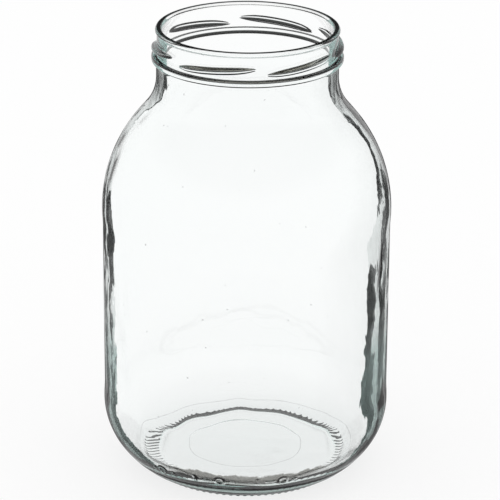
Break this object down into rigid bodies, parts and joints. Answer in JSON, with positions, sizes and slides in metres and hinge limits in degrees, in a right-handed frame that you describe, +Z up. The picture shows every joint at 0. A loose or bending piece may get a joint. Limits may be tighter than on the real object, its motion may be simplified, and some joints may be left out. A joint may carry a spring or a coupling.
{
  "type": "glass storage jar",
  "caption": "Wide-mouth clear glass storage jar with a lug-cap finish, rounded shoulder, recessed label panel and knurled base ring; open, with no lid.",
  "frame": {"origin": "on the jar's axis at the level that it stands on", "axes": "+Z up along the jar's axis, out of the mouth; -Y is the side that the picture shows"},
  "size_m": [0.1518, 0.1518, 0.242],
  "materials": {
    "glass": "clear soda-lime glass with a faint green tint, smooth and glossy, slightly wavy inside"
  },
  "bodies": {
    "root": {"jar": "glass"}
  },
  "joints": []
}
